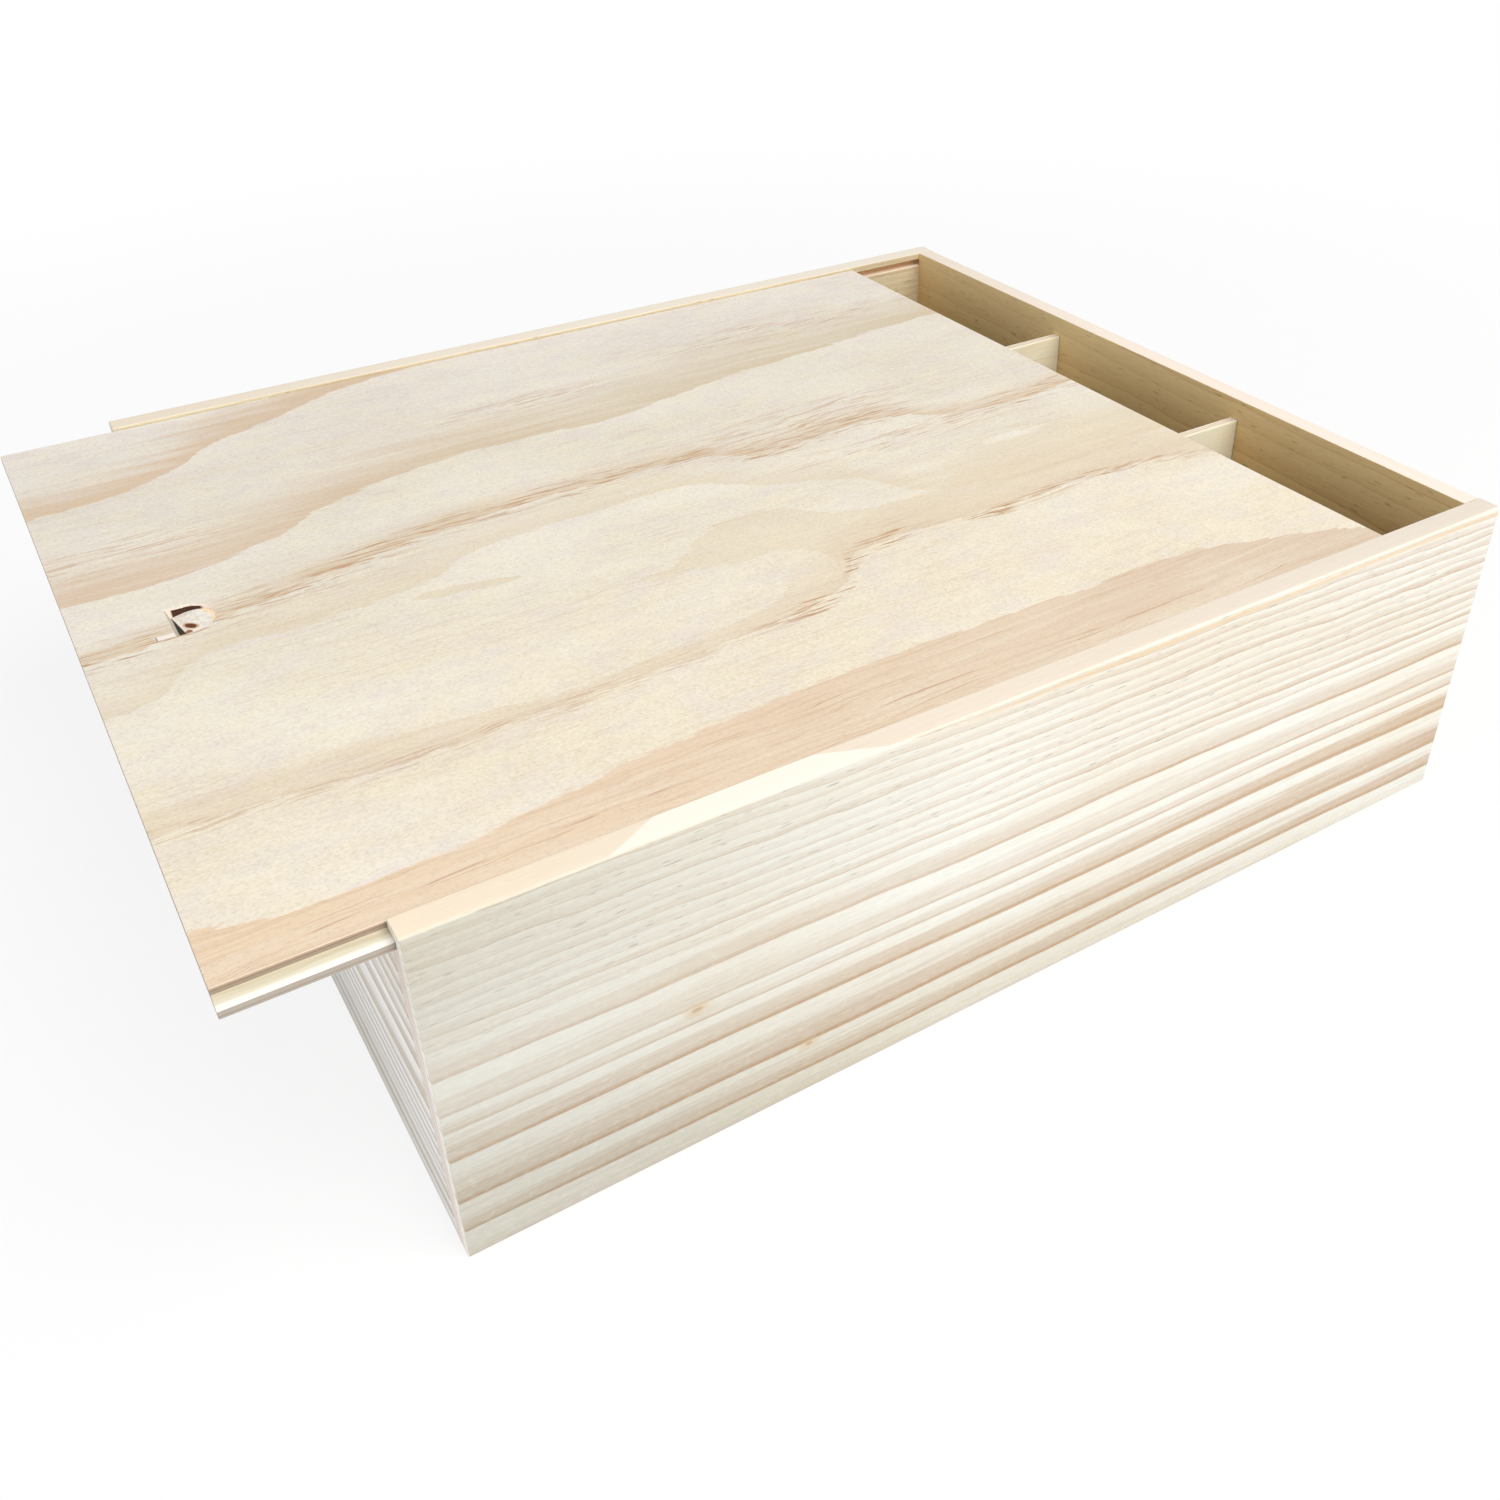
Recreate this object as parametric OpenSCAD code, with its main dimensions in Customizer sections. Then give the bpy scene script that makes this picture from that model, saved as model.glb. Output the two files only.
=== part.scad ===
// A pine box for three bottles or keepsakes, with two thin dividers and a plywood lid that slides
// out towards the front. X runs across the box, Y from front to rear along the lid's slide, Z up.
// The origin is the middle of the box's underside. The lid is drawn part of the way out.

/* [Box] */
// Width over the two side boards
box_w = 300; // [180:5:400]
// Depth from the front face to the rear face
box_d = 345; // [200:5:450]
// Height from the underside to the rim
box_h = 105; // [70:1:160]

/* [Boards] */
// Thickness of the side boards
side_t = 7.5; // [6.5:0.5:12]
// Thickness of the front and rear walls
wall_t = 7; // [6:0.5:12]
// Radius sanded on the outer arrises
arris_r = 1; // [0.4:0.1:1.5]
// Gap between the front wall's top edge and the lid that passes over it
front_gap = 0.5; // [0.2:0.1:2]

/* [Bottom panel] */
// Thickness of the bottom panel
bottom_t = 4; // [3:0.5:6]
// How far the bottom panel is let into each wall
bottom_lap = 3.5; // [2:0.5:4.5]
// Gap between the bottom panel's edges and the recess that it is glued into
bottom_gap = 0.2; // [0.1:0.1:0.5]

/* [Dividers] */
// Thickness of a divider
divider_t = 3.5; // [3:0.5:6]
// How far the dividers' top edges lie below the rim
divider_drop = 7.6; // [7:0.2:30]
// Depth of the stopped housings that hold the dividers' ends
housing_d = 2.5; // [1:0.5:4]
// Play between a divider and the sides and end of its housing
housing_gap = 0.15; // [0.1:0.05:0.5]

/* [Lid] */
// Thickness of the lid
lid_t = 4.5; // [4:0.1:5.5]
// How far the lid's face lies below the rim
lid_drop = 0.9; // [0.5:0.1:1.2]
// How far the lid is drawn out past the box's front face
lid_open = 35.5; // [0:0.5:150]
// Gap between the lid's raised face and each side board
lid_gap = 0.45; // [0.2:0.05:1]
// Depth of the rebate that leaves a tongue along each long edge of the lid
rebate_d = 2; // [1.5:0.1:2.6]
// How far each tongue stands into its groove
tongue_reach = 4.2; // [2.5:0.1:4.4]
// Width of the shallow bevel along each tongue's upper arris
tongue_bevel = 1.9; // [0.4:0.1:2.4]
// How far that bevel falls towards the tongue's end
tongue_fall = 0.5; // [0.2:0.1:1]

/* [Grooves] */
// Play between a tongue's end and the bottom of its groove
groove_end_gap = 0.3; // [0.2:0.1:1]
// Play between a tongue's upper face and the top of its groove
groove_top_gap = 0.25; // [0.1:0.05:0.6]

/* [Thumb notch] */
// Width of the notch across the lid
notch_w = 15.7; // [12:0.1:24]
// Length of the notch along the slide
notch_l = 12.3; // [10:0.1:20]
// Distance of the notch's straight wall from the lid's front edge
notch_setback = 24; // [12:1:60]
// Offset of the notch from the middle of the lid
notch_x = -2.5; // [-20:0.5:20]
// Depth at the straight wall, which the thumb pulls on
notch_deep = 3; // [2:0.1:3.4]
// Depth at the round end, where the sloping floor runs out
notch_shallow = 0.8; // [0.2:0.1:1.8]

/* [Hidden] */
$fn = 48;
inner_w = box_w - 2 * side_t;
inner_d = box_d - 2 * wall_t;
lid_top = box_h - lid_drop;
lid_under = lid_top - lid_t;
tongue_top = lid_top - rebate_d;
groove_d = tongue_reach + groove_end_gap;
front_h = lid_under - front_gap;
divider_top = box_h - divider_drop;
bay_w = (inner_w - 2 * divider_t) / 3;
divider_x = (bay_w + divider_t) / 2;
lid_l = box_d - wall_t;
lid_front = -box_d / 2 - lid_open;
lid_half = inner_w / 2 - lid_gap;
tongue_half = inner_w / 2 + tongue_reach;
notch_r = notch_w / 2;
notch_slope = atan((notch_deep - notch_shallow) / notch_l);
// How far a cutting shape runs past the wood that it cuts
past = 5;

// A rectangle from [0, 0] to [w, h], with both corners on its left-hand edge sanded round
module sanded_left(w, h) {
    translate([arris_r, 0]) square([w - arris_r, h]);
    translate([0, arris_r]) square([arris_r, h - 2 * arris_r]);
    for (y = [arris_r, h - arris_r]) translate([arris_r, y]) circle(r = arris_r);
}

// A profile drawn across the box, [x, z], run the given length back along +Y
module run_back(length) {
    rotate([90, 0, 0]) mirror([0, 0, 1]) linear_extrude(length) children();
}

// The shallow recess in the underside that the four walls form for the bottom panel
module panel_recess() {
    translate([-inner_w / 2 - bottom_lap, -inner_d / 2 - bottom_lap, -past])
        cube([inner_w + 2 * bottom_lap, inner_d + 2 * bottom_lap, bottom_t + past]);
}

// The left board, with its outer arrises sanded and the lid's groove open at both ends
module side_board() {
    difference() {
        intersection() {
            translate([-box_w / 2, -box_d / 2, 0]) run_back(box_d) difference() {
                sanded_left(side_t, box_h);
                translate([side_t - groove_d, lid_under])
                    square([groove_d + past, tongue_top + groove_top_gap - lid_under]);
            }
            translate([-box_w / 2, -box_d / 2, 0]) linear_extrude(box_h) sanded_left(side_t, box_d);
        }
        panel_recess();
    }
}

module left_side() {
    color("wheat") side_board();
}

module right_side() {
    color("wheat") mirror([1, 0, 0]) side_board();
}

// The two stopped housings for the dividers' ends, in the front wall's inner face
module housings() {
    for (x = [-divider_x, divider_x])
        translate([x - divider_t / 2 - housing_gap, -inner_d / 2 - housing_d, bottom_t])
            cube([divider_t + 2 * housing_gap, housing_d + past, divider_top - bottom_t]);
}

// A wall of the given height between the sides, in the front wall's place
module cross_wall(height) {
    difference() {
        translate([-inner_w / 2, -box_d / 2, 0])
            rotate([90, 0, 90]) linear_extrude(inner_w) sanded_left(wall_t, height);
        housings();
        panel_recess();
    }
}

module front_wall() {
    color("burlywood") cross_wall(front_h);
}

module rear_wall() {
    color("burlywood") mirror([0, 1, 0]) cross_wall(box_h);
}

module bottom_panel() {
    panel_w = inner_w + 2 * (bottom_lap - bottom_gap);
    panel_d = inner_d + 2 * (bottom_lap - bottom_gap);
    color("tan") translate([-panel_w / 2, -panel_d / 2, 0]) cube([panel_w, panel_d, bottom_t]);
}

// A divider standing on the bottom panel, with its ends in the walls' housings
module divider() {
    divider_l = inner_d + 2 * (housing_d - housing_gap);
    translate([-divider_t / 2, -divider_l / 2, bottom_t])
        cube([divider_t, divider_l, divider_top - bottom_t]);
}

module divider_left() {
    color("moccasin") translate([-divider_x, 0, 0]) divider();
}

module divider_right() {
    color("moccasin") translate([divider_x, 0, 0]) divider();
}

// The lid's section: under the raised face, a rebate along each edge leaves a bevelled tongue
module lid_section() {
    right_edge = [
        [tongue_half, lid_under],
        [tongue_half, tongue_top - tongue_fall],
        [tongue_half - tongue_bevel, tongue_top],
        [lid_half, tongue_top],
        [lid_half, lid_top]
    ];
    left_edge = [for (i = [len(right_edge) - 1:-1:0]) [-right_edge[i].x, right_edge[i].y]];
    polygon(concat(right_edge, left_edge));
}

// The wood that the notch takes out: a D shape with its straight wall towards the lid's front at
// y = 0, above a floor that slopes up towards the round end. z = 0 is the lid's face.
module notch_waste() {
    intersection() {
        translate([0, 0, -lid_t]) linear_extrude(lid_t + past) {
            translate([-notch_r, 0]) square([notch_w, notch_l - notch_r]);
            translate([0, notch_l - notch_r]) intersection() {
                circle(r = notch_r);
                translate([-notch_r, 0]) square([notch_w, notch_r]);
            }
        }
        translate([0, 0, -notch_deep]) rotate([notch_slope, 0, 0])
            translate([-notch_w, -past, 0]) cube([2 * notch_w, notch_l + 2 * past, lid_t + past]);
    }
}

module lid() {
    color("blanchedalmond") difference() {
        translate([0, lid_front, 0]) run_back(lid_l) lid_section();
        translate([notch_x, lid_front + notch_setback, lid_top]) notch_waste();
    }
}

left_side();
right_side();
front_wall();
rear_wall();
bottom_panel();
divider_left();
divider_right();
lid();
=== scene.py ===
import math

import bmesh
import bpy
from mathutils import Matrix, Vector


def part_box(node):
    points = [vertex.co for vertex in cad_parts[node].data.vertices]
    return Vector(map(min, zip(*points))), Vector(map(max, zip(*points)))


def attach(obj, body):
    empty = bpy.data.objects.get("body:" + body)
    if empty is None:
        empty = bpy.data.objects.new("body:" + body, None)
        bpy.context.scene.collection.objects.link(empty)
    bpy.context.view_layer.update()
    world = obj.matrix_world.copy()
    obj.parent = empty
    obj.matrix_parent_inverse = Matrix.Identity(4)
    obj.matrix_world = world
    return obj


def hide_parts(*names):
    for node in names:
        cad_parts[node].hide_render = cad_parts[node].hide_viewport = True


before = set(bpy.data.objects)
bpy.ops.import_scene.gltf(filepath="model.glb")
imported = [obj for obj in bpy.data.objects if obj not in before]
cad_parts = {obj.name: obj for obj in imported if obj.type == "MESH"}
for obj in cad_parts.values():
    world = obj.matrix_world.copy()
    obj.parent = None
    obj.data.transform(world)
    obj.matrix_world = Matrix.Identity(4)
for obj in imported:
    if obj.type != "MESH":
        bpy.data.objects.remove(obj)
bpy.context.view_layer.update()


# ---- Side boards ------------------------------------------------------------------------------
# Two boards of bare planed pine stand on edge along the box. A groove for the lid is run along
# each inner face below the rim, and a stopped recess below takes the bottom. They are glued over
# the ends of the front and rear walls, and their outer arrises are sanded round.

side_low, side_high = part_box("right_side")
lid_low, lid_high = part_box("lid")
bottom_low, bottom_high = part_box("bottom_panel")
wall_low, wall_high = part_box("rear_wall")

half_width = side_high.x
half_depth = side_high.y
rim = side_high.z
inner_half_width = side_low.x
inner_half_depth = wall_low.y
groove_play = 0.0003
groove_floor = lid_high.x + groove_play
groove_height = 0.00275
recess_play = 0.0002
recess_half_width = bottom_high.x + recess_play
recess_half_depth = bottom_high.y + recess_play
sanded = 0.001
eased = 0.0003


def block_board(name, xs, ys, zs, cuts, arris):
    """A board made of the blocks between the planes xs, ys and zs, less the ones inside cuts.
    arris(middle, run) gives the radius of an outer edge from its middle and its direction."""
    def solid(i, j, k):
        if not (0 <= i < len(xs) - 1 and 0 <= j < len(ys) - 1 and 0 <= k < len(zs) - 1):
            return False
        middle = ((xs[i] + xs[i + 1]) / 2, (ys[j] + ys[j + 1]) / 2, (zs[k] + zs[k + 1]) / 2)
        return not any(
            all(low < place < high for place, (low, high) in zip(middle, cut)) for cut in cuts
        )

    shape = bmesh.new()
    corners = {}

    def corner(key):
        if key not in corners:
            corners[key] = shape.verts.new((xs[key[0]], ys[key[1]], zs[key[2]]))
        return corners[key]

    for i in range(len(xs) - 1):
        for j in range(len(ys) - 1):
            for k in range(len(zs) - 1):
                if not solid(i, j, k):
                    continue
                for axis in range(3):
                    for side in (0, 1):
                        beyond = [i, j, k]
                        beyond[axis] += 2 * side - 1
                        if solid(*beyond):
                            continue
                        ring = []
                        for a, b in ((0, 0), (1, 0), (1, 1), (0, 1)):
                            key = [i, j, k]
                            key[axis] += side
                            key[(axis + 1) % 3] += a
                            key[(axis + 2) % 3] += b
                            ring.append(corner(tuple(key)))
                        shape.faces.new(ring if side else ring[::-1])

    bmesh.ops.dissolve_limit(shape, angle_limit=0.01, verts=shape.verts, edges=shape.edges)
    weights = shape.edges.layers.float.new("bevel_weight_edge")
    for edge in shape.edges:
        if edge.calc_face_angle_signed() > 0.5:
            run = (edge.verts[1].co - edge.verts[0].co).normalized()
            middle = (edge.verts[0].co + edge.verts[1].co) / 2
            edge[weights] = arris(middle, run) / sanded
        elif edge.calc_face_angle_signed() < -0.5:
            edge.smooth = False
    return finished(name, shape, sanded)


def finished(name, shape, bevel):
    """The object for a bmesh, with its marked arrises rounded and its flat faces shaded flat."""
    mesh = bpy.data.meshes.new(name)
    shape.to_mesh(mesh)
    shape.free()
    mesh.shade_smooth()
    piece = bpy.data.objects.new(name, mesh)
    bpy.context.scene.collection.objects.link(piece)
    if bevel:
        rounding = piece.modifiers.new("arrises", "BEVEL")
        rounding.limit_method = "WEIGHT"
        rounding.width = bevel
        rounding.use_clamp_overlap = False
        rounding.segments = 3
    shading = piece.modifiers.new("flat_faces", "WEIGHTED_NORMAL")
    shading.keep_sharp = True
    return piece


class Value:
    """An output of a shader node. Sums, products and powers of values add Math nodes."""

    def __init__(self, nodes, out):
        self.nodes = nodes
        self.out = out

    def math(self, operation, first, second=0.0):
        return self.nodes.node("Math", {"operation": operation}, {0: first, 1: second})

    def __add__(self, other):
        return self.math("ADD", self, other)

    __radd__ = __add__

    def __sub__(self, other):
        return self.math("SUBTRACT", self, other)

    def __rsub__(self, other):
        return self.math("SUBTRACT", other, self)

    def __mul__(self, other):
        return self.math("MULTIPLY", self, other)

    __rmul__ = __mul__

    def __truediv__(self, other):
        return self.math("DIVIDE", self, other)

    def __pow__(self, other):
        return self.math("POWER", self, other)

    def __abs__(self):
        return self.math("ABSOLUTE", self)

    def sign(self):
        return self.math("SIGN", self)

    def fraction(self):
        return self.math("FRACT", self)

    def whole(self):
        return self.math("FLOOR", self)

    def least(self, other):
        return self.math("MINIMUM", self, other)

    def most(self, other):
        return self.math("MAXIMUM", self, other)

    def step(self, low, high):
        """Runs smoothly from 0 at low to 1 at high, or from 1 to 0 where high is the lower."""
        sockets = {"Value": self, "From Min": low, "From Max": high}
        return self.nodes.node("MapRange", {"interpolation_type": "SMOOTHSTEP"}, sockets)


class Nodes:
    """The nodes of a material or of the sky."""

    def __init__(self, owner):
        owner.use_nodes = True
        self.tree = owner.node_tree
        self.tree.nodes.clear()

    def node(self, kind, settings, sockets, out=0):
        """Adds a node: its settings come first, then its sockets' values or links."""
        node = self.tree.nodes.new("ShaderNode" + kind)
        for key, value in settings.items():
            if key == "stops":
                ramp = node.color_ramp.elements
                while len(ramp) < len(value):
                    ramp.new(1.0)
                for stop, (place, colour) in zip(ramp, value):
                    stop.position = place
                    stop.color = colour
            elif key == "points":
                curve = node.mapping.curves[0].points
                while len(curve) < len(value):
                    curve.new(1.0, 1.0)
                for point, place in zip(curve, value):
                    point.location = place
                node.mapping.update()
            else:
                setattr(node, key, value)
        for key, value in sockets.items():
            if isinstance(value, Value):
                self.tree.links.new(value.out, node.inputs[key])
            else:
                node.inputs[key].default_value = value
        return Value(self, node.outputs[out]) if node.outputs else node


class Finish(Nodes):
    """A node material, whose places are in millimetres in the box's frame."""

    def __init__(self, name):
        self.material = bpy.data.materials.new(name)
        super().__init__(self.material)
        self.at = [part * 1000 for part in self.split(self.node("TexCoord", {}, {}, 3))]
        self.facing = self.split(self.node("TexCoord", {}, {}, 1))

    def split(self, vector):
        return [self.node("SeparateXYZ", {}, {0: vector}, part) for part in range(3)]

    def join(self, x, y, z):
        return self.node("CombineXYZ", {}, {0: x, 1: y, 2: z})

    def mix(self, share, first, second, blend="MIX"):
        """The first colour where share is 0, the second where it is 1."""
        settings = {"data_type": "RGBA", "blend_type": blend}
        return self.node("Mix", settings, {0: share, 6: first, 7: second}, 2)

    def noise(self, size, detail=2.0, seed=0.0, at=None):
        """Soft noise about 0.5, with features of the given size in millimetres along x, y, z."""
        places = [place / length + seed for place, length in zip(at or self.at, size)]
        sockets = {"Vector": self.join(*places), "Scale": 1.0, "Detail": detail}
        return self.node("TexNoise", {}, sockets)

    def trace(self, value, points, reach, span):
        """The height over the value of a line drawn through points, within reach and span."""
        (left, right), (low, high) = reach, span
        drawn = [((x - left) / (right - left), (y - low) / (high - low)) for x, y in points]
        sockets = {"Factor": 1.0, "Value": (value - left) / (right - left)}
        return self.node("FloatCurve", {"points": drawn}, sockets) * (high - low) + low

    def shine(self, colour, roughness, height, depth):
        """Ends the material with its colour, roughness and a bump that is depth metres high."""
        bump = self.node("Bump", {}, {"Strength": 1.0, "Distance": depth, "Height": height})
        surface = self.node("BsdfPrincipled", {}, {
            "Base Color": colour,
            "Roughness": roughness,
            "Normal": bump,
            "Specular IOR Level": 0.3,
        })
        self.node("OutputMaterial", {}, {"Surface": surface})


def paint(red, green, blue):
    """A colour as a painter's chart gives it, from 0 to 255, in the renderer's linear values."""
    return [((part / 255 + 0.055) / 1.055) ** 2.4 for part in (red, green, blue)] + [1.0]


def pine(name, across, rings, knots, seed, pale, late, ends, rim_tones, inside, sapwood=None):
    """Planed pine sawn along the grain. Its broad faces look along the axis across. rings holds
    the lower edge of each ring at the board's left or front end, and how dark its late wood is,
    knots the places along and up of its pin knots, with their sizes, rim_tones the colours of
    its top at that end and at the other, inside a warm tint for its inner face, painted shade for
    the light bounced about inside the box, and sapwood the ends of a pale patch on the top."""
    wood = Finish(name)
    outer = (half_width, half_depth)[across] * 1000
    reach = (half_depth, half_width)[across] * 1000
    along = wood.at[1 - across]
    up = wood.at[2]
    depth = outer - abs(wood.at[across])

    def lay(length, width):
        """Sizes for noise that is long along the grain."""
        return (width, length, width) if across == 0 else (length, width, width)

    # The rings are arcs about a heart well behind the face, and drift down along the board.
    heart_depth = 150
    heart_drop = 5
    bow = (heart_depth - depth) ** 2 + (up + heart_drop) ** 2 - heart_depth ** 2
    heart = bow.sign() * abs(bow) ** 0.5 - heart_drop
    drift = (along + reach) / (2 * reach)
    wave = (wood.noise(lay(110, 45), 1, seed) - 0.5) * 4
    ripple = (wood.noise(lay(30, 9), 2, seed + 4) - 0.5) * up.step(30, 95) * 3.6
    height = heart + drift * (heart * 0.085 + 1.5) + wave + ripple
    most_rings = 24
    edges = [(edge, n) for n, (edge, _) in enumerate(rings)]
    ring = wood.trace(height, edges, (-60, 130), (0, most_rings))
    weights = [(n + 0.5, weight) for n, (_, weight) in enumerate(rings)]
    weight = wood.trace(ring.whole() + 0.5, weights, (0, most_rings), (0, 1))
    part = ring.fraction()

    # Late wood fills the lower part of a ring, streaked, and ends in a thin dark line.
    streak = wood.noise(lay(70, 1.5), 3, seed + 1)
    strand = wood.noise(lay(30, 0.55), 2, seed + 5)
    fibre = wood.noise(lay(6, 0.45), 3, seed + 2)
    speck = wood.noise(lay(2.2, 0.9), 2, seed + 7)
    dash = wood.noise(lay(6, 0.6), 1, seed + 3)
    broad = wood.noise(lay(120, 30), 1, seed + 6)
    swell = (streak - 0.5) * 0.9
    band = (part + swell).step(0.8, 0.25)
    line = (1 - part * 7).most(0).most(part.step(0.95, 1.0))
    top = abs(wood.facing[2]).step(0.8, 0.95)
    end = abs(wood.facing[1 - across]).step(0.6, 0.85)
    inner = depth.step(4, 6) * abs(wood.facing[across]).step(0.8, 0.95)
    dark = (band * 0.62 + line * 0.75) * weight * (1 - inner * 0.4 - top * 0.75)
    fine = up.step(62, 78)
    shade = dark * (0.8 + drift * (0.6 - fine * 0.35) - fine * (1 - drift) * 0.35) + fine * drift * 0.1
    shade = shade + (strand - 0.54).most(0) * (1.0 - fine * 0.4)

    colour = wood.mix(shade.most(0).least(1), pale, late)
    colour = wood.mix((broad - 0.4).most(0) * 1.3, colour, paint(247, 237, 220), "MULTIPLY")
    # Painted shade: the wood is greyed towards the board's first end (the front end of each side, the
    # left end of each wall) and towards its bottom, for the light falling off there. Inner faces are
    # left out.
    painted_falloff_shade = (1 - drift * 2.4).most(0) * (0.6 + up.step(60, 90) * 0.25)
    painted_falloff_shade = painted_falloff_shade + (1 - drift) * (1 - up / 60).most(0) * 0.5 + (1 - up / 35).most(0) * 0.3
    colour = wood.mix((painted_falloff_shade * (1 - inner)).least(1), colour, paint(218, 216, 211), "MULTIPLY")
    colour = wood.mix((0.5 - fibre).most(0) * 0.5, colour, paint(176, 158, 138))
    colour = wood.mix((speck - 0.5).most(0) * 0.5, colour, paint(255, 250, 238))
    colour = wood.mix(dash.step(0.66, 0.73) * (0.1 + fine * 0.32), colour, paint(128, 116, 104))
    for place, rise, size in knots:
        off = (up - rise) / size
        far = (((along - place) / (size * 1.9)) ** 2 + off ** 2) ** 0.5 + (speck - 0.5) * 1.2
        colour = wood.mix(far.step(3.2, 0.8) * 0.45, colour, paint(212, 184, 142))
        colour = wood.mix(far.step(1.1, 0.3) * 0.5, colour, paint(170, 130, 88))

    # The narrow faces are paler, sawn ends are pinkish with grey ring lines, and the sanded
    # arrises are painted lighter, a painted highlight.
    colour = wood.mix(top * 0.8, colour, wood.mix(drift ** 0.6, *rim_tones))
    # Painted shade: the inner faces are tinted warmer and a little darker, for the light bounced about
    # inside the box.
    colour = wood.mix(inner, colour, inside, "MULTIPLY")
    if across == 0:
        # A tan band just under the outer top arris towards the rear: partly a grain band crossing the
        # arris, partly painted shade under the rounded arris.
        under_rim = (1 - abs(up - rim * 1000 + 1.9) / 1.1).most(0) * drift.step(0.3, 0.55)
        colour = wood.mix(under_rim * (1 - inner) * (1 - top) * 0.8, colour, paint(228, 200, 160))
        # Painted shade: the inside of the lid's groove is painted warm orange, for the warm shade seen
        # in it.
        groove_low = lid_low.z * 1000
        groove_high = groove_low + groove_height * 1000
        painted_groove_shade = depth.step(2.6, 2.9) * depth.step(7.5, 7.3)
        painted_groove_shade = painted_groove_shade * up.step(groove_low - 0.05, groove_low + 0.1)
        painted_groove_shade = painted_groove_shade * up.step(groove_high + 0.1, groove_high)
        colour = wood.mix(painted_groove_shade, colour, paint(255, 218, 172))
    if sapwood:
        front, rear = sapwood
        patch = (along - front - depth * 2).step(-0.8, 0.8)
        patch = patch * (rear - depth * 2.5 - along).step(-0.8, 0.8)
        colour = wood.mix(top * patch * 0.85, colour, paint(247, 242, 228))
    sawn = wood.mix(depth.step(3.2, 1.2), ends, paint(252, 246, 236))
    late_edge = (1 - abs(part - 0.08) * 9).most(0) * 0.8 + (1 - abs(part - 0.5) * 7).most(0) * 0.3
    sawn = wood.mix(late_edge, sawn, paint(128, 114, 112))
    colour = wood.mix(end, colour, sawn)
    # Painted highlight: wherever the normal leans off the axes, on the rounded arrises, the colour is
    # lightened.
    square = abs(wood.facing[0]).most(abs(wood.facing[1])).most(abs(wood.facing[2]))
    colour = wood.mix(square.step(0.99, 0.8) * 0.45, colour, paint(252, 240, 216))
    relief = (dark * -0.08 + fibre * 0.5 + streak * 0.35) * (1 - end)
    wood.shine(colour, 0.52 + fibre * 0.16 - dark * 0.08, relief, 0.0002)
    return wood.material


def side_arris(middle, run):
    """Outer arrises are sanded well round, and the inner ones barely eased."""
    if abs(middle.x) < half_width - eased:
        return eased
    return sanded * 0.8 if abs(run.y) > 0.5 else sanded * 0.55


fine_rings = [
    (71 + 3.4 * number, 0.34 + 0.26 * (number % 3 == 1) + 0.16 * (number % 2))
    for number in range(13)
]
side_blocks = {
    "xs": [inner_half_width, recess_half_width, groove_floor, half_width],
    "ys": [-half_depth, -recess_half_depth, recess_half_depth, half_depth],
    "zs": [0, bottom_high.z, lid_low.z, lid_low.z + groove_height, rim],
    "cuts": [
        ((0, recess_half_width), (-recess_half_depth, recess_half_depth), (0, bottom_high.z)),
        ((0, groove_floor), (-1, 1), (lid_low.z, lid_low.z + groove_height)),
    ],
}
right_side = block_board("right_side_pine", arris=side_arris, **side_blocks)
left_side = block_board("left_side_pine", arris=side_arris, **side_blocks)
left_side.data.transform(Matrix.Diagonal((-1, 1, 1, 1)))
left_side.data.flip_normals()
right_pine = pine(
    "right_side_pine",
    across=0,
    rings=[
        (-60, 0.5), (-44, 0.7), (-30, 0.6), (-16, 0.5), (-3, 0.4), (9.5, 0.85), (20, 0.9),
        (35, 0.85), (45, 0.5), (50.7, 0.5), (62, 0.6),
    ] + fine_rings,
    knots=[(-107.5, 48, 1.0), (-76, 17.5, 0.8)],
    sapwood=(-126, -51),
    seed=1,
    pale=paint(237, 237, 229),
    late=paint(196, 168, 138),
    ends=paint(240, 226, 212),
    rim_tones=[paint(250, 231, 203), paint(222, 209, 194)],
    inside=paint(255, 244, 216),
)
left_pine = pine(
    "left_side_pine",
    across=0,
    rings=[
        (-60, 0.4), (-44, 0.6), (-29, 0.5), (-14, 0.4), (1, 0.6), (14, 0.7), (24, 0.45), (37, 0.75),
        (49, 0.5), (57, 0.6), (66.5, 0.4),
    ] + fine_rings,
    knots=[(64, 33, 0.8)],
    seed=23,
    pale=paint(240, 237, 226),
    late=paint(200, 168, 134),
    ends=paint(240, 226, 212),
    rim_tones=[paint(246, 230, 206), paint(244, 234, 218)],
    inside=paint(255, 246, 220),
)
side_boards = ((right_side, right_pine, "right_side"), (left_side, left_pine, "left_side"))
for board, finish, node in side_boards:
    board.data.materials.append(finish)
    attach(board, "box")
    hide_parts(node)


# ---- Front and rear walls ---------------------------------------------------------------------
# Two shorter boards of the same pine are glued between the sides. The front one stops just under
# the lid, which slides over it, and the rear one is full height and stops the lid. Each has two
# stopped housings in its inner face for the dividers' ends.

divider_low, divider_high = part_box("divider_right")
front_low, front_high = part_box("front_wall")
housing_play = 0.00015
housing_half_depth = divider_high.y + housing_play
housing_sides = (divider_low.x - housing_play, divider_high.x + housing_play)
glued = 0.00006


def wall_arris(middle, run):
    """The ends are left square for the glue joint, and the outer arrises sanded round."""
    if abs(middle.x) > inner_half_width - eased:
        return glued
    return sanded if abs(middle.y) > half_depth - eased else eased


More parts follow.
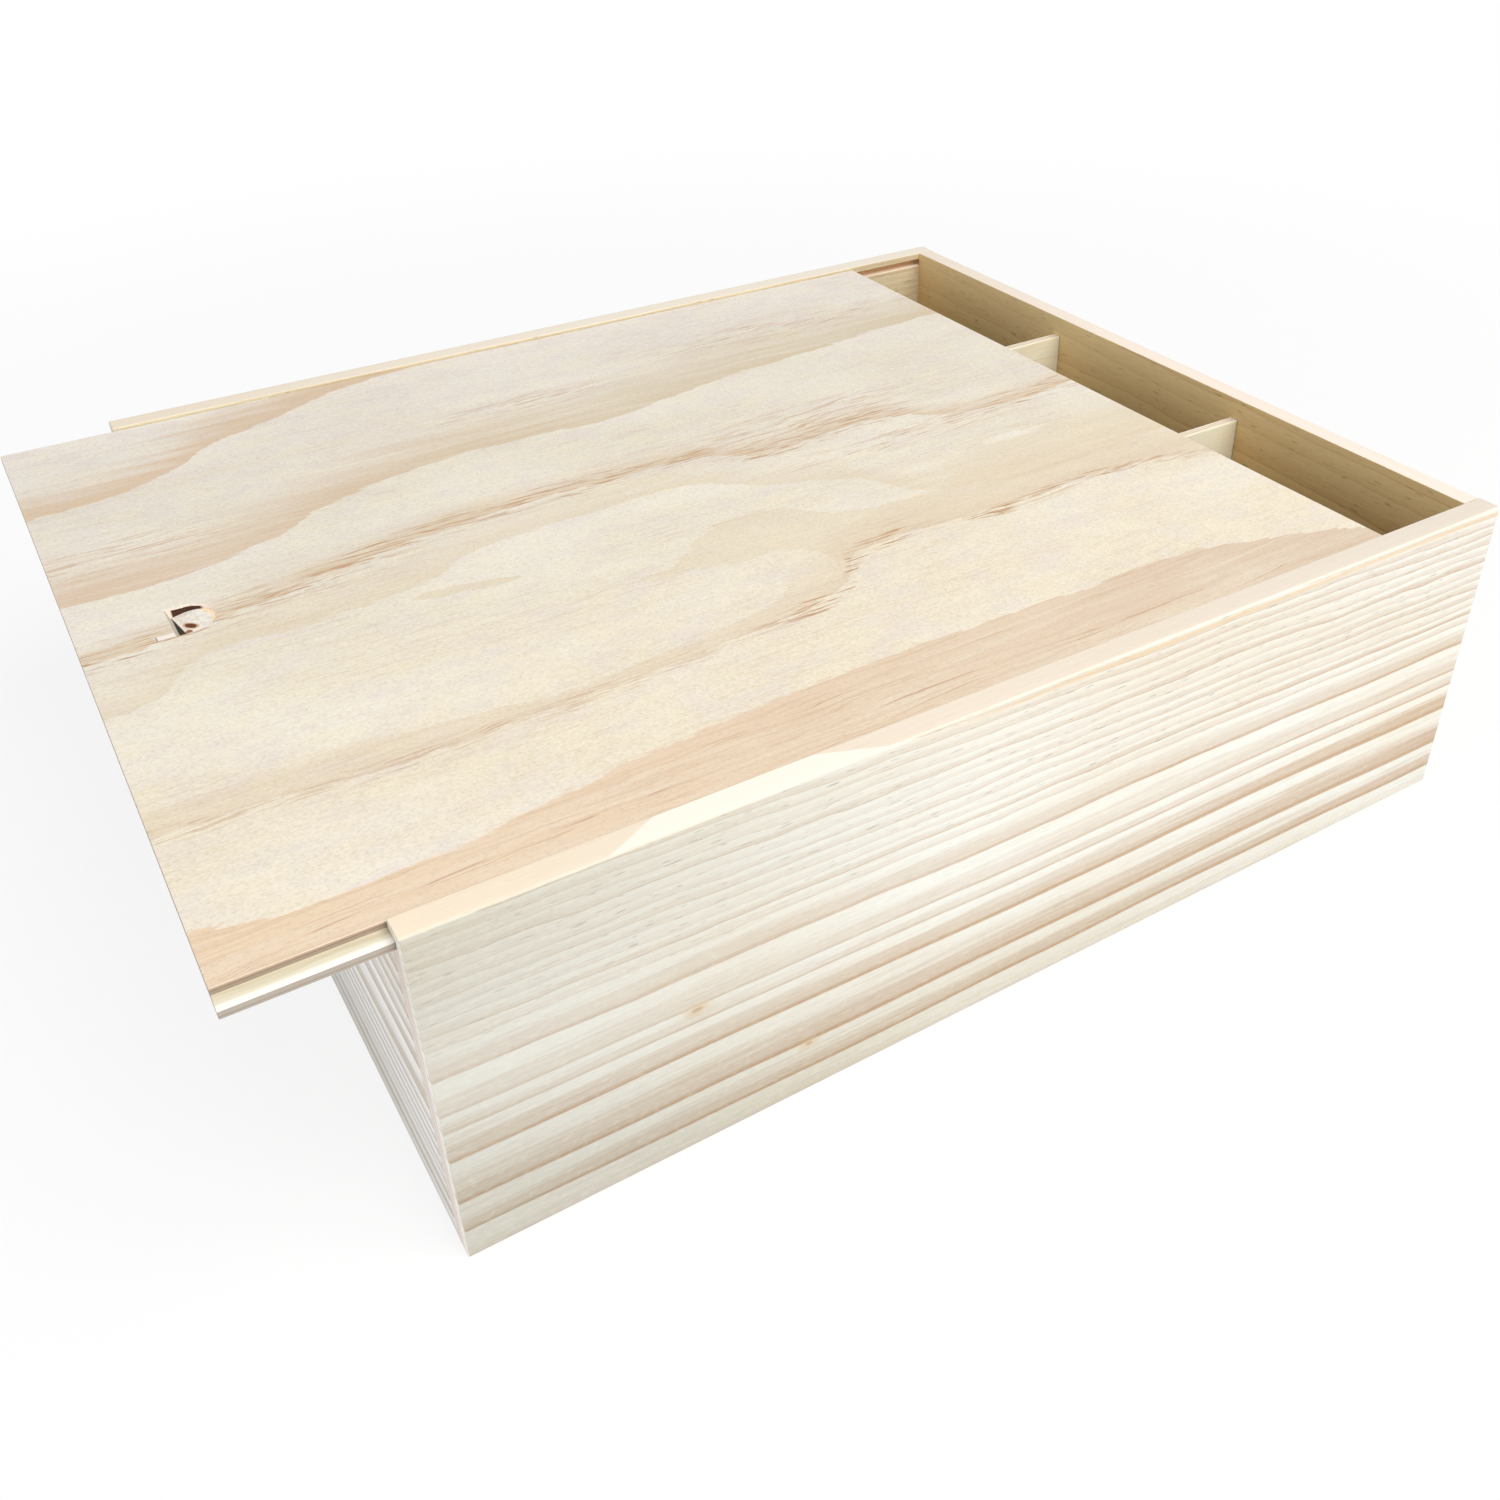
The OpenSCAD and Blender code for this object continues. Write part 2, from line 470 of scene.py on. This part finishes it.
def cross_wall(name, height):
    """A wall in the rear one's place."""
    left, right = housing_sides
    housings = [
        (xs, (0, housing_half_depth), (bottom_high.z, divider_high.z))
        for xs in ((left, right), (-right, -left))
    ]
    recess = ((-1, 1), (0, recess_half_depth), (0, bottom_high.z))
    return block_board(
        name,
        xs=[-inner_half_width, -right, -left, left, right, inner_half_width],
        ys=[inner_half_depth, housing_half_depth, recess_half_depth, half_depth],
        zs=[0, bottom_high.z, divider_high.z, height],
        cuts=housings + [recess],
        arris=wall_arris,
    )


rear_wall = cross_wall("rear_wall_pine", rim)
front_wall = cross_wall("front_wall_pine", front_high.z)
front_wall.data.transform(Matrix.Diagonal((1, -1, 1, 1)))
front_wall.data.flip_normals()
rear_pine = pine(
    "rear_wall_pine",
    across=1,
    rings=[
        (-60, 0.6), (-48, 0.8), (-39, 0.4), (-27, 0.9), (-17, 0.5), (-9, 0.7), (3, 0.4), (11, 0.9),
        (24, 0.6), (31, 0.4), (43, 0.9), (52, 0.5), (60, 0.8), (72, 0.4), (79, 0.7), (91, 0.35),
        (99, 0.5), (108, 0.5), (118, 0.4),
    ],
    knots=[(-61, 40, 0.8)],
    seed=40,
    pale=paint(250, 240, 220),
    late=paint(206, 170, 130),
    ends=paint(240, 226, 212),
    rim_tones=[paint(244, 232, 216), paint(246, 230, 218)],
    inside=paint(255, 234, 188),
)
# Painted shade: the front wall's pale is cooler and greyer than the other boards', for the cool shade
# under the lid, and its top rings are drawn at full darkness as a painted shadow of the lid.
front_pine = pine(
    "front_wall_pine",
    across=1,
    rings=[
        (-60, 0.6), (-46, 0.7), (-34, 0.5), (-23, 0.8), (-12, 0.6), (-2, 0.8), (9, 0.9), (16.5, 0.9),
        (24, 0.7), (28, 0.8), (34, 0.9), (39, 0.8), (44, 0.9), (51, 1.0), (66, 0.9), (76, 0.9),
        (84, 1.0), (92, 1.0), (99, 1.0), (107, 0.9), (115, 0.9),
    ],
    knots=[],
    seed=57,
    pale=paint(248, 245, 242),
    late=paint(200, 187, 170),
    ends=paint(240, 226, 212),
    rim_tones=[paint(240, 226, 206), paint(240, 226, 206)],
    inside=paint(255, 244, 216),
)
walls = ((rear_wall, rear_pine, "rear_wall"), (front_wall, front_pine, "front_wall"))
for board, finish, node in walls:
    board.data.materials.append(finish)
    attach(board, "box")
    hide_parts(node)


# ---- Bottom panel and dividers ----------------------------------------------------------------
# Thin pine plywood. The bottom is let into the recess under the four walls, and the two dividers
# stand on it on edge, with their ends in the housings. Their edges show the plies' glue lines.


def ply_sheet(name, node, arris):
    """A sheet of plywood that fills the node's box."""
    low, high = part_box(node)
    return block_board(
        name,
        xs=[low.x, high.x],
        ys=[low.y, high.y],
        zs=[low.z, high.z],
        cuts=[],
        arris=lambda middle, run: arris,
    )


def ply(name, node, across, seed, pale, late):
    """Three-ply pine sheet for the node. Its faces look along the axis across, and their grain
    runs from front to rear."""
    sheet = Finish(name)
    low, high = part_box(node)
    middle = (low[across] + high[across]) * 500
    thickness = (high[across] - low[across]) * 1000
    figure = sheet.noise((16, 210, 16), 1, seed)
    waver = sheet.noise((16 / 9, 210 / 9, 16 / 9), 2, seed + 1)
    rings = (figure * 9 + waver * 0.35).fraction()
    fibre = sheet.noise((0.5, 8, 0.5), 3, seed + 2)
    tone = sheet.noise((70, 70, 70), 1, seed + 3)
    colour = sheet.mix(((1 - rings) ** 2).most(rings.step(0.93, 1.0)) * 0.6, pale, late)
    colour = sheet.mix((tone - 0.4).most(0) * 1.2, colour, paint(244, 228, 200), "MULTIPLY")
    colour = sheet.mix((0.5 - fibre).most(0) * 0.4, colour, paint(172, 148, 118))
    rim_face = abs(sheet.facing[across]).step(0.7, 0.4)
    off = abs(sheet.at[across] - middle)
    glue_line = thickness * 0.24
    core = off.step(glue_line, thickness * 0.21)
    glue = abs(off - glue_line).step(0.16, 0.05)
    edge = sheet.mix(core, paint(246, 236, 216), paint(232, 216, 192))
    edge = sheet.mix(glue * 0.45, edge, paint(140, 112, 82))
    edge = sheet.mix((0.5 - fibre).most(0) * 0.6, edge, paint(150, 126, 98))
    colour = sheet.mix(rim_face, colour, edge)
    sheet.shine(colour, 0.55 + fibre * 0.15, fibre * 0.6 + rings * 0.2, 0.00015)
    return sheet.material


bottom_panel = ply_sheet("bottom_panel_ply", "bottom_panel", eased / 2)
divider_right = ply_sheet("divider_right_ply", "divider_right", eased)
divider_left = ply_sheet("divider_left_ply", "divider_left", eased)
bottom_tones = (paint(236, 222, 194), paint(214, 188, 148))
divider_tones = (paint(255, 250, 226), paint(248, 234, 200))
bottom_ply = ply("bottom_ply", "bottom_panel", 2, 5, *bottom_tones)
right_ply = ply("divider_right_ply", "divider_right", 0, 9, *divider_tones)
left_ply = ply("divider_left_ply", "divider_left", 0, 15, *divider_tones)
for sheet, finish, node in (
    (bottom_panel, bottom_ply, "bottom_panel"),
    (divider_right, right_ply, "divider_right"),
    (divider_left, left_ply, "divider_left"),
):
    sheet.data.materials.append(finish)
    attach(sheet, "box")
    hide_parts(node)


# ---- Lid --------------------------------------------------------------------------------------
# A plywood panel with a rotary-cut pine face, sanded smooth. A rebate along each long edge leaves
# a bevelled tongue that runs in the groove, and a D shaped thumb notch near the front is cut with
# a sloping floor, whose cutter scorched the wood.

lid_half_width = lid_high.x
side_play = 0.00045
face_half_width = inner_half_width - side_play
rebate = 0.002
tongue_top = lid_high.z - rebate
tongue_bevel = 0.0019
tongue_fall = 0.0005
tongue_arris = 0.00025
face_arris = 0.0003
end_arris = 0.0002
closing_gap = 0.00012
notch_radius = 0.00785
notch_length = 0.0123
notch_setback = 0.024
notch_offset = -0.0025
notch_front = lid_low.y + notch_setback
notch_middle = Vector((notch_offset, notch_front + notch_length - notch_radius))
notch_deep = 0.003
notch_shallow = 0.0008
notch_slope = (notch_deep - notch_shallow) / notch_length
notch_arris = 0.00025


def arc(centre, radius, start, end, steps):
    """Points along an arc, with its angles in degrees."""
    turns = [math.radians(start + (end - start) * step / steps) for step in range(steps + 1)]
    return [
        Vector((centre[0] + radius * math.cos(turn), centre[1] + radius * math.sin(turn)))
        for turn in turns
    ]


def lid_section(inset):
    """The lid's section from the right tongue's underside up to the face's right arris, and back
    round the left side, shrunk by the inset."""
    half = lid_half_width - inset
    face = face_half_width - inset
    low = lid_low.z + inset
    step = tongue_top - inset
    high = lid_high.z - inset
    right = arc((half - tongue_arris, low + tongue_arris), tongue_arris, -90, 0, 3)
    bevel = [(1.0, 0.0), (0.62, 0.1), (0.35, 0.3), (0.14, 0.6), (0.0, 1.0)]
    right += [
        Vector((half - tongue_bevel * across, step - tongue_fall * fall))
        for across, fall in reversed(bevel)
    ]
    right += arc((face + face_arris, step + face_arris), face_arris, 270, 180, 3)
    right += arc((face - face_arris, high - face_arris), face_arris, 0, 90, 3)
    return right + [Vector((-point.x, point.y)) for point in reversed(right)]


def notch_rim(grown):
    """The notch's D shaped outline, grown by the given distance."""
    radius = notch_radius + grown
    corner = 0.0009
    front = notch_front - grown
    right = arc((notch_middle.x + radius - corner, front + corner), corner, -90, 0, 4)
    round_end = arc(notch_middle, radius, 0, 180, 32)
    left = arc((notch_middle.x - radius + corner, front + corner), corner, 180, 270, 4)
    return right + round_end + left


def make_lid():
    """The lid's section run from front to rear, with the notch sunk into its face."""
    shape = bmesh.new()
    easing = [(0.0, end_arris), (end_arris * 0.3, end_arris * 0.3), (end_arris, 0.0)]
    stations = [(lid_low.y + step, inset) for step, inset in easing]
    stations += [(lid_high.y - closing_gap - step, inset) for step, inset in reversed(easing)]
    rings = [
        [shape.verts.new((point.x, y, point.y)) for point in lid_section(inset)]
        for y, inset in stations
    ]
    # The face between the eased ends stays open, to be filled round the notch.
    count = len(rings[0])
    face = count // 2 - 1
    open_run = len(easing) - 1
    for place, (ring, after) in enumerate(zip(rings, rings[1:])):
        for i in range(count):
            j = (i + 1) % count
            if i != face or place != open_run:
                shape.faces.new((ring[i], ring[j], after[j], after[i]))
    shape.faces.new(rings[0][::-1])
    shape.faces.new(rings[-1])

    # The notch's arris is rounded, and its straight wall leans back to a foot on the floor.
    lean = 0.0013
    foot_width = 0.0008
    loops = []
    for grown, drop in ((notch_arris, 0.0), (0.00007, 0.00007), (0.0, notch_arris)):
        loops.append([shape.verts.new((p.x, p.y, lid_high.z - drop)) for p in notch_rim(grown)])
    for share in (0.25, 0.5, 0.75, 0.92, 1.0):
        loop = []
        for p in notch_rim(-0.0003 * share):
            foot = max(0.0, 1 - (p.y - notch_front) / foot_width)
            y = p.y + lean * foot * share
            floor = notch_deep - (y - notch_front) * notch_slope
            curl = 0.00012 if share == 1.0 else 0.0
            drop = notch_arris + (floor - notch_arris) * min(1.0, share * 1.03)
            loop.append(shape.verts.new((p.x, y + curl, lid_high.z - drop)))
        loops.append(loop)
    for loop, below in zip(loops, loops[1:]):
        for i in range(len(loop)):
            j = (i + 1) % len(loop)
            shape.faces.new((loop[i], loop[j], below[j], below[i]))
    shape.faces.new(loops[-1])
    shape.edges.ensure_lookup_table()

    edges = [shape.edges.get((loops[0][i - 1], loops[0][i])) for i in range(len(loops[0]))]
    front, rear = rings[open_run], rings[open_run + 1]
    corners = [front[face], front[face + 1], rear[face + 1], rear[face]]
    edges += [shape.edges.get((corners[i - 1], corners[i])) for i in range(4)]
    bmesh.ops.triangle_fill(shape, edges=edges, use_beauty=True, normal=(0, 0, 1))
    bmesh.ops.recalc_face_normals(shape, faces=shape.faces)
    return finished("lid_ply", shape, 0)


def lid_ply():
    """The lid's finish: the figure of its face is drawn along, in millimetres from the lid's
    front edge, and across, in millimetres from its middle."""
    wood = Finish("lid_ply")
    length = 338
    across, along, up = wood.at
    along = along - lid_low.y * 1000
    sway = (wood.noise((7, 34, 30), 3) - 0.5) * 6
    rag = (wood.noise((0.9, 7, 30), 4, 3) - 0.5) * 4.4
    flow = across + sway
    cut = flow + rag

    def line(*points):
        """The height across the lid of a line drawn through points along it."""
        return wood.trace(along, points, (0, length), (-150, 150))

    streak = wood.noise((1.1, 46, 30), 3, 5, [flow, along, up])
    wisp = wood.noise((2.6, 60, 30), 3, 6, [flow, along, up]) - 0.5

    def shore(distance, width):
        """A crisp edge at 0, fading in wisps over the width on the far side."""
        fade = (1 - distance / width - wisp * 1.3).most(0).least(1) ** 1.2
        return distance.step(-0.25, 0.25) * fade

    def seam(distance, width):
        """Full over the middle half of a band about 0, and fading to its edges."""
        return (2 - abs(distance) / width * 2).most(0).least(1)

    fibre = wood.noise((0.35, 3.2, 30), 3, 9)
    speck = wood.noise((0.6, 0.9, 30), 2, 13)
    cloud = wood.noise((22, 70, 30), 2, 11)

    def strands(distance, seed):
        """Short fine strands of dark grain."""
        return wood.noise((0.55, 15, 30), 3, seed, [distance, along, up]).step(0.53, 0.63)

    def patch(place, rise, long, wide):
        """A soft oval about a place, along and across, with its half length and half width."""
        return (1 - ((along - place) / long) ** 2 - ((across - rise) / wide) ** 2).most(0)

    # Painted light in the veneer's tone: greyer towards the left for the cooler light there, but
    # lighter at the far left edge, where the lamp's light falls off. It is yellower on the right.
    face_width = 284
    tone = wood.node("ValToRGB", {"stops": [
        (0.0, paint(240, 231, 219)),
        (0.08, paint(232, 225, 212)),
        (0.17, paint(229, 220, 204)),
        (0.34, paint(229, 221, 203)),
        (0.48, paint(229, 221, 203)),
        (0.62, paint(231, 222, 202)),
        (0.8, paint(232, 221, 198)),
        (1.0, paint(231, 219, 196)),
    ]}, {0: across / face_width + 0.5})

    # The lines that the figure follows, from the left edge to the right one: a tan flame with a
    # pinkish corner, a long tan band, a ragged ridge of dark grain, an island of pale wood
    # between tan ones, a line that bends at a knee, and a peach band.
    left_tan = line(
        (0, -87), (43, -97), (50, -103), (63, -114), (80, -121), (113, -136), (207, -142),
        (338, -150),
    )
    pink = line((0, -110), (13, -122), (37, -135), (60, -144), (338, -150))
    long_tan = line(
        (0, -27), (60, -35), (78, -47), (110, -57), (157, -60), (180, -57), (213, -65), (338, -80),
    )
    ridge = line(
        (0, 8), (47, 1), (67, -5), (113, -14), (167, -16), (193, -15), (213, -5), (240, -8), (267, -7),
        (280, 0), (300, 5), (338, 1),
    )
    middle_tan = line(
        (0, 36), (13, 33), (27, 20), (60, 19), (87, 15), (110, 5), (157, 1), (183, 2), (200, 13),
        (230, 28), (238, 40), (250, 48), (338, 49),
    )
    head = line(
        (0, 48), (130, 47), (150, 45), (165, 36), (176, 30), (192, 29), (201, 34), (207, 41), (233, 46),
        (250, 47), (258, 34), (285, 26), (338, 24),
    )
    foot = line((0, 48), (130, 48), (165, 52), (188, 55), (196, 66), (205, 84), (338, 90))
    knee = line(
        (0, 88), (100, 91), (153, 86), (187, 81), (193, 76), (200, 66), (213, 63), (260, 66), (307, 65),
        (338, 72),
    )
    knee_tan = line(
        (0, 80), (43, 78), (77, 83), (110, 85), (143, 81), (170, 76), (180, 64), (192, 56),
        (338, 46),
    )
    right_band = line(
        (0, 123), (33, 129), (100, 121), (160, 117), (187, 117), (233, 118), (277, 117), (293, 120),
        (310, 125), (338, 136),
    )

    # Each colour is laid over the ones before it.
    tan = paint(220, 200, 172)
    rust = paint(190, 150, 112)
    ragged = 0.7 + streak * 0.6
    colour = wood.mix(cloud.step(0.4, 0.75) * 0.45, tone, paint(242, 236, 224))
    colour = wood.mix((speck - 0.5).most(0) * 1.3, colour, paint(252, 247, 238))
    mottle = wood.noise((6, 13, 30), 3, 31)
    colour = wood.mix((mottle - 0.48).most(0) * 2.0, colour, paint(227, 217, 211))
    colour = wood.mix((0.48 - mottle).most(0) * 1.8, colour, paint(241, 231, 202))
    blush = shore(left_tan - cut, 30) * (cut - pink).step(-2, 6)
    colour = wood.mix((blush * ragged * 1.2).least(1), colour, paint(222, 199, 172))
    warm = wood.mix(along / 200, paint(221, 197, 172), paint(216, 200, 172))
    colour = wood.mix(shore(long_tan - cut, 34) * ragged, colour, warm)
    between = shore(middle_tan - cut, 22) * (cut - ridge).step(-1, 3)
    colour = wood.mix(between * 0.6, colour, paint(224, 207, 178))
    soft = along.step(240, 262) * 9 + 0.5
    shift = (wood.noise((5, 12, 30), 3, 35) - 0.5) * 9
    island = (cut + shift - head).step(soft * -1, soft) * (foot - cut - shift).step(-0.5, 0.7)
    island = island * (knee - cut).step(-0.4, 0.4)
    colour = wood.mix(island * (0.25 + streak * 0.45), colour, paint(224, 208, 178))
    slant = cut - along * 0.18 - 5.4 + shift * 0.5
    spot = (1 - ((along - 99) / 16) ** 2 - (slant / 2.6) ** 2).step(-0.05, 0.1)
    colour = wood.mix(spot * 0.6, colour, paint(224, 208, 178))
    bent = shore(knee - cut, 30) * (cut - knee_tan).step(-0.4, 0.4)
    colour = wood.mix(bent * 0.55, colour, tan)
    peach = wood.mix(along / length, paint(233, 209, 180), paint(216, 197, 175))
    in_band = cut - right_band
    colour = wood.mix(shore(in_band, 90), colour, peach)
    grained = (0.5 - streak).most(0) * in_band.step(-0.3, 1)
    colour = wood.mix((grained * 1.8).least(1), colour, paint(204, 172, 140))
    colour = wood.mix(shore(ridge - cut, 14) * 0.9, colour, tan)
    gather = wood.noise((20, 30, 30), 1, 37).step(0.3, 0.5) * 0.5 + 0.45
    grain = seam(cut - ridge + 1.5, 7.5) * strands(flow, 15) * gather
    colour = wood.mix(grain, colour, rust)
    broken = wood.noise((20, 26, 30), 1, 33).step(0.42, 0.55) * along.step(150, 190)
    broken = broken.most(patch(195, 72, 16, 14).step(0, 0.3)) + 0.45
    grain = seam(cut - knee - 0.8, 4.4) * strands(flow, 17) * broken
    colour = wood.mix(grain.least(1), colour, rust)
    colour = wood.mix(seam(cut - knee, 0.9) * 0.14, colour, rust)
    brush = patch(22, -50, 40, 13) + patch(160, -88, 55, 9) + patch(280, -102, 75, 14)
    brush = brush + patch(245, -20, 60, 16) * 1.3 + patch(60, -3, 45, 9) + patch(262, 8, 60, 9)
    rise = flow + along * 0.05
    colour = wood.mix((brush * strands(rise, 19)).least(1) * 0.75, colour, paint(200, 166, 136))
    hair = wood.noise((0.45, 55, 30), 1, 27, [flow + along * 0.03, along, up]).step(0.7, 0.75)
    colour = wood.mix(hair * (0.12 + in_band.step(0, 2) * 0.55), colour, rust)
    check = line(
        (0, 140), (15, 138.3), (45, 136.3), (90, 134.5), (140, 133.4), (190, 134), (250, 135.5),
        (338, 135),
    )
    split = wood.noise((60, 23, 30), 2, 39).step(0.5, 0.62)
    split = seam(flow - sway * 0.5 - check, 0.35) * split
    colour = wood.mix(split * 0.5, colour, paint(182, 136, 108))
    colour = wood.mix(patch(291, 27, 15, 3) * 0.8, colour, paint(242, 237, 224))
    colour = wood.mix(strands(flow, 25) * cloud.step(0.55, 0.4) * 0.15, colour, rust)
    colour = wood.mix((0.5 - fibre).most(0) * 0.4, colour, paint(170, 150, 126))
    colour = wood.mix((0.5 - speck).most(0) * 0.95, colour, paint(178, 160, 142))

    # Below the face the long edges show the plies: veneer, glue line, core and the lower veneer.
    # The ledge is cut in the greenish core, and its bevel is painted pale as a painted highlight.
    depth = lid_high.z * 1000 - up
    lying = abs(wood.facing[2])
    edge = wood.mix(depth.step(0.75, 0.9), paint(184, 158, 140), paint(174, 158, 142))
    edge = wood.mix(depth.step(2.2, 2.5), edge, paint(180, 170, 158))
    edge = wood.mix(seam(depth - 0.85, 0.16) * 0.6, edge, paint(136, 108, 80))
    edge = wood.mix(seam(depth - 3.7, 0.16) * 0.5, edge, paint(136, 108, 80))
    edge = wood.mix((0.5 - fibre).most(0) * 0.8, edge, paint(150, 130, 104))
    colour = wood.mix(lying.step(0.6, 0.4), colour, edge)
    past_face = abs(across) - face_half_width * 1000
    past_bevel = abs(across) - (lid_half_width - tongue_bevel) * 1000
    ledge = wood.mix(past_face.step(1.95, -0.15), paint(228, 220, 194), paint(216, 206, 178))
    ledge = wood.mix((wisp * 3).most(0).least(1), ledge, paint(196, 184, 152))
    # Painted highlight on the tongue's bevel.
    ledge = wood.mix(past_bevel.step(-0.2, 0.8), ledge, paint(246, 242, 230))
    below = depth.step(1.6, 1.9) * lying.step(0.3, 0.5) * past_face.step(-1.05, -0.45)
    colour = wood.mix(below, colour, ledge)
    # Painted highlight on the rounded arrises round the face and round the notch's rim.
    colour = wood.mix(lying.step(0.98, 0.8) * depth.step(0.5, 0.3) * 0.2, colour, paint(255, 240, 222))

    # The notch: a bevelled front wall with a dark foot, partly scorch and partly painted shadow,
    # a pale sloping floor with two scorched spots, and a scorched band under the veneer along the left
    # wall.
    right = across - notch_offset * 1000
    back = along - notch_setback * 1000
    centre = (notch_length - notch_radius) * 1000
    radius = (right ** 2 + (back - centre).most(0) ** 2) ** 0.5
    outline = notch_radius * 1000
    inside = depth.step(0.12, 0.25) * radius.step(outline + 0.35, outline + 0.25)
    inside = inside * (back + 0.3).step(0, 0.1)
    wall = radius.step(outline - 0.55, outline - 0.3)
    soot = wood.noise((1.3, 1.0, 30), 3, 21)
    floor = wood.mix(soot.step(0.4, 0.7), paint(240, 234, 224), paint(222, 210, 194))
    floor = wood.mix(radius.step(5.6, 7.4) * back.step(8, 10) * 0.7, floor, paint(250, 214, 150))
    slide = (right - 0.6) * 0.83 + (back - 4.85) * 0.56
    aside = (back - 4.85) * 0.83 - (right - 0.6) * 0.56
    spot = 1.2 - (slide / 1.9) ** 2 - (aside / 0.85) ** 2
    floor = wood.mix((spot + soot - 0.5).step(-1.6, 0) * 0.8, floor, paint(200, 136, 66))
    floor = wood.mix((spot + soot - 0.5).step(-0.3, 0.5) * 0.95, floor, paint(92, 52, 26))
    spot = 1.2 - ((right - 3.4) / 1.1) ** 2 - ((back - 3.7) / 0.8) ** 2
    floor = wood.mix((spot + soot - 0.5).step(-0.8, 0.4) * 0.9, floor, paint(150, 84, 34))
    floor = wood.mix(back.step(1.35, 1.2), floor, paint(206, 196, 180))
    # The dark foot of the front wall, wider to the right: partly scorch, partly painted shadow in the
    # undercut.
    foot_shadow_and_scorch = back.step(1.15, 1.35) * (1.4 + (right + 7) * 0.15 - back).step(-0.15, 0.15)
    floor = wood.mix(foot_shadow_and_scorch, floor, paint(54, 48, 36))
    floor = wood.mix(wall * back.step(0.3, 0.6), floor, paint(250, 234, 220))
    ember = wall * soot.step(0.54, 0.66) * right.step(2, -3) * 0.3
    floor = wood.mix(ember.most(wall * back.step(9.5, 11.5) * 0.2), floor, paint(240, 190, 130))
    burn = wall * (depth + soot * 0.5).step(0.85, 1.0) * right.step(0, -2)
    burn = burn * back.step(1.4, 2.0) * back.step(10.2, 9.0)
    floor = wood.mix(burn, floor, paint(72, 44, 28))
    colour = wood.mix(inside, colour, floor)
    torn = seam(right - 6.8, 1.4) * (back + 2.2 + soot).step(-2.7, -2.3) * back.step(0.2, 0.0)
    colour = wood.mix(torn * (1 - inside) * 0.8, colour, paint(248, 243, 234))
    tick = seam(back + 4.9, 0.35) * seam(right - 6.9, 1.6)
    colour = wood.mix(tick * 0.7, colour, paint(140, 108, 84))

    relief = fibre * 0.5 + streak * 0.5
    wood.shine(colour, 0.5 + fibre * 0.18, relief, 0.00012)
    return wood.material


lid = make_lid()
lid.data.materials.append(lid_ply())
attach(lid, "lid")
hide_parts("lid")


# ---- Floor, light and camera ------------------------------------------------------------------
# A white laminate table under a white sky, with a broad soft lamp over the box's right and a
# cooler one before its front. The camera stands at the photograph's place and angle, tipped by
# half a degree.

table_half = 12
table_corners = [(-table_half, -table_half, 0), (table_half, -table_half, 0)]
table_corners += [(table_half, table_half, 0), (-table_half, table_half, 0)]
table = bpy.data.meshes.new("table")
table.from_pydata(table_corners, [], [(0, 1, 2, 3)])
table = bpy.data.objects.new("table", table)
bpy.context.scene.collection.objects.link(table)
laminate = Finish("table_white")
matt = laminate.node("BsdfPrincipled", {}, {
    "Base Color": laminate.mix(
        laminate.noise((0.4, 0.4, 0.4), 2), paint(240, 240, 240), paint(246, 246, 246)
    ),
    "Roughness": 0.8,
    "Specular IOR Level": 0.1,
})
glow = laminate.node("Emission", {}, {"Color": (1, 1, 1, 1), "Strength": 1.0})
seen = laminate.node("LightPath", {}, {})
away = (laminate.at[0] ** 2 + laminate.at[1] ** 2) ** 0.5
glowing = seen * (0.8 + away.step(250, 900) * 0.2)
top = laminate.node("MixShader", {}, {0: glowing, 1: matt, 2: glow})
laminate.node("OutputMaterial", {}, {"Surface": top})
table.data.materials.append(laminate.material)

sky = bpy.data.worlds.new("white_sky")
bpy.context.scene.world = sky
air = Nodes(sky)
light = air.node("Background", {}, {"Color": (0.985, 0.985, 1.0, 1.0), "Strength": 0.42})
white = air.node("Background", {}, {"Color": (1, 1, 1, 1), "Strength": 1.0})
seen = air.node("LightPath", {}, {})
air.node("OutputWorld", {}, {"Surface": air.node("MixShader", {}, {0: seen, 1: light, 2: white})})


def soft_light(name, place, size, energy, colour):
    """A square lamp that looks at the box."""
    lamp = bpy.data.lights.new(name, "AREA")
    lamp.size = size
    lamp.energy = energy
    lamp.color = colour
    lamp = bpy.data.objects.new(name, lamp)
    lamp.location = place
    look = Vector((0, 0, 0.05)) - Vector(place)
    lamp.rotation_euler = look.to_track_quat("-Z", "Y").to_euler()
    bpy.context.scene.collection.objects.link(lamp)


soft_light("soft_lamp", (0.88, 0.32, 1.25), 1.3, 22, (1.0, 0.985, 0.96))
soft_light("front_lamp", (-0.1, -1.5, 0.5), 1.2, 8, (0.78, 0.88, 1.0))

view_angle = math.radians(58.268)
view_height = math.radians(33.851)
view_roll = math.radians(-0.577)
view_distance = 0.468144
aim = Vector((0.046794, -0.010788, 0.0531))
back = Vector((
    math.cos(view_height) * math.sin(view_angle),
    -math.cos(view_height) * math.cos(view_angle),
    math.sin(view_height),
))
level = Vector((math.cos(view_angle), math.sin(view_angle), 0))
upright = back.cross(level)
right = math.cos(view_roll) * level + math.sin(view_roll) * upright
upright = back.cross(right)
camera = bpy.data.cameras.new("camera")
camera.sensor_width = 36
camera.lens = 35.32
camera.shift_x = -0.0396
camera.shift_y = -0.0521
camera = bpy.data.objects.new("camera", camera)
stand = aim + back * view_distance
camera.matrix_world = Matrix((
    (right.x, upright.x, back.x, stand.x),
    (right.y, upright.y, back.y, stand.y),
    (right.z, upright.z, back.z, stand.z),
    (0, 0, 0, 1),
))
bpy.context.scene.collection.objects.link(camera)
bpy.context.scene.camera = camera
bpy.context.scene.view_settings.view_transform = "Standard"

bpy.context.view_layer.update()
